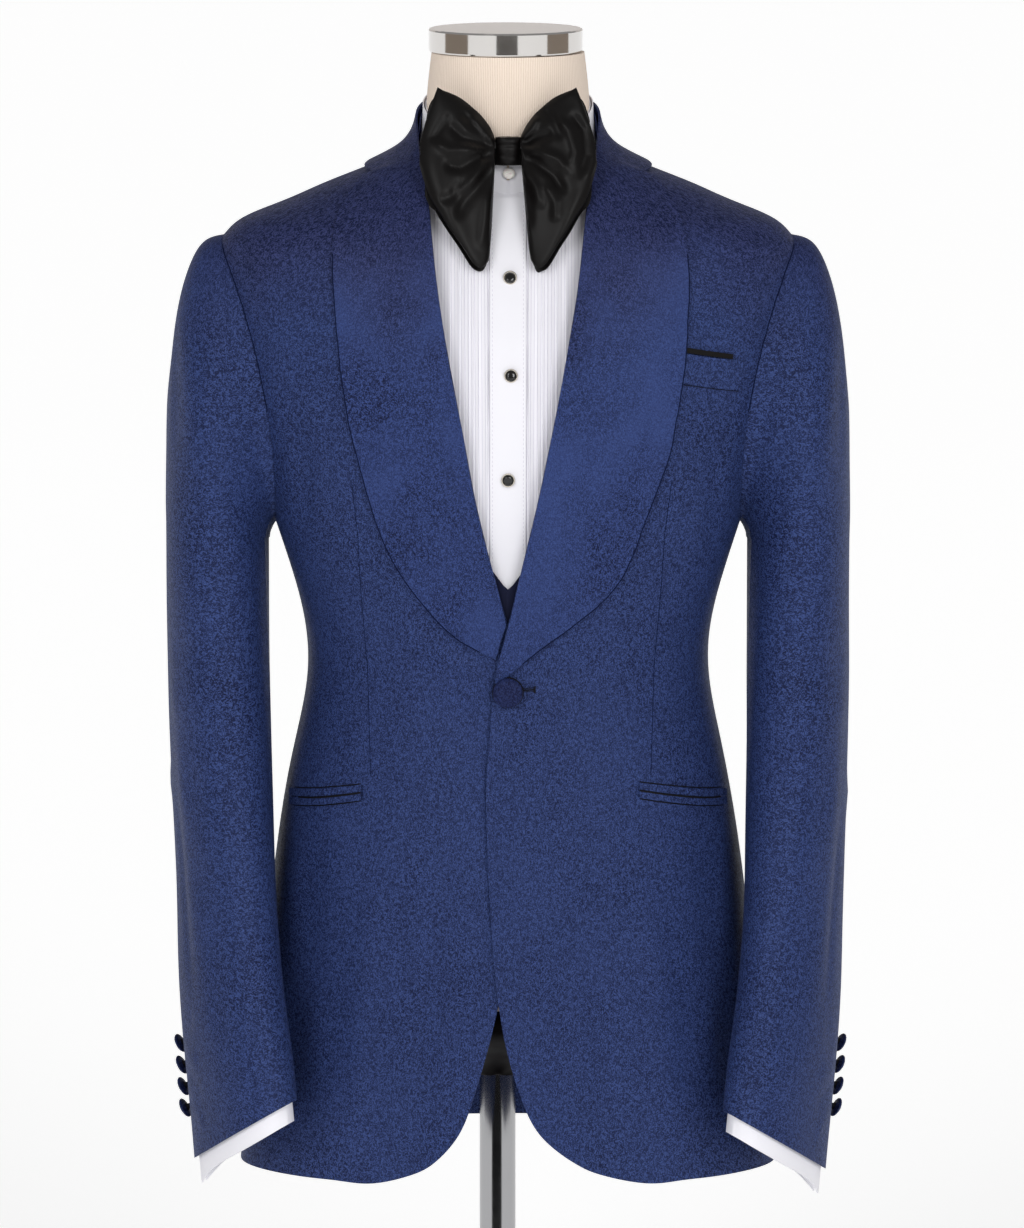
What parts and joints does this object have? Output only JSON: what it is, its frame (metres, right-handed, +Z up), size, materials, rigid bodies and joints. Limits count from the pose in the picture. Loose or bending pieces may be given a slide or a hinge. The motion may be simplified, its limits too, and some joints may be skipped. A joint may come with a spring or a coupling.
{
  "type": "tuxedo on dress form",
  "caption": "Shawl-lapel dinner jacket with waistcoat, pleated dress shirt and butterfly bow tie, worn by a limbless dress form on a round-based stand.",
  "frame": {"origin": "bottom centre of the bounding box, on the flat underside of the stand base, below the middle of the garment; the pole stands 7.7 mm to its -X side as in the picture", "axes": "+Z up, the front of the garment faces -Y, +X is the wearer's left"},
  "size_m": [0.498, 0.36, 1.1172],
  "materials": {
    "blue_jacquard": "tone-on-tone leaf jacquard, satin sheen",
    "navy_lining_cloth": "dark navy worsted",
    "white_cotton": "fine white poplin",
    "black_satin": "black satin",
    "covered_button": "cloth-covered button",
    "onyx": "polished black stud",
    "mother_of_pearl": "pearl button",
    "beige_jersey": "ribbed cotton jersey over a foam form",
    "black_moulding": "black moulded underside",
    "chrome": "polished chrome",
    "brushed_steel": "brushed steel"
  },
  "bodies": {
    "root": {"jacket_front_left": "blue_jacquard", "jacket_back_left": "blue_jacquard", "shawl_collar_left": "blue_jacquard", "sleeve_top_left": "blue_jacquard", "sleeve_under_left": "blue_jacquard", "sleeve_button_left_1": "covered_button", "sleeve_button_left_2": "covered_button", "sleeve_button_left_3": "covered_button", "sleeve_button_left_4": "covered_button", "hip_jet_upper_left": "blue_jacquard", "hip_jet_lower_left": "blue_jacquard", "waistcoat_front_left": "navy_lining_cloth", "shirt_front_left": "white_cotton", "shirt_sleeve_left": "white_cotton", "shirt_cuff_left": "white_cotton", "bow_wing_left": "black_satin", "bow_rear_left": "black_satin", "jacket_front_right": "blue_jacquard", "jacket_back_right": "blue_jacquard", "shawl_collar_right": "blue_jacquard", "sleeve_top_right": "blue_jacquard", "sleeve_under_right": "blue_jacquard", "sleeve_button_right_1": "covered_button", "sleeve_button_right_2": "covered_button", "sleeve_button_right_3": "covered_button", "sleeve_button_right_4": "covered_button", "hip_jet_upper_right": "blue_jacquard", "hip_jet_lower_right": "blue_jacquard", "waistcoat_front_right": "navy_lining_cloth", "shirt_front_right": "white_cotton", "shirt_sleeve_right": "white_cotton", "shirt_cuff_right": "white_cotton", "bow_wing_right": "black_satin", "bow_rear_right": "black_satin", "collar_stand": "blue_jacquard", "breast_welt": "blue_jacquard", "breast_pocket_edge": "black_satin", "front_button": "covered_button", "waistcoat_back": "navy_lining_cloth", "shirt_placket": "white_cotton", "shirt_back": "white_cotton", "shirt_collar_stand": "white_cotton", "shirt_collar_leaf": "white_cotton", "bow_knot": "black_satin", "bow_tie_band": "black_satin", "shirt_stud_1": "onyx", "shirt_stud_2": "onyx", "shirt_stud_3": "onyx", "pearl_button": "mother_of_pearl", "form_torso": "beige_jersey", "form_base_cap": "black_moulding", "form_neck_cap": "chrome", "stand_pole": "chrome", "stand_base": "brushed_steel"}
  },
  "joints": []
}
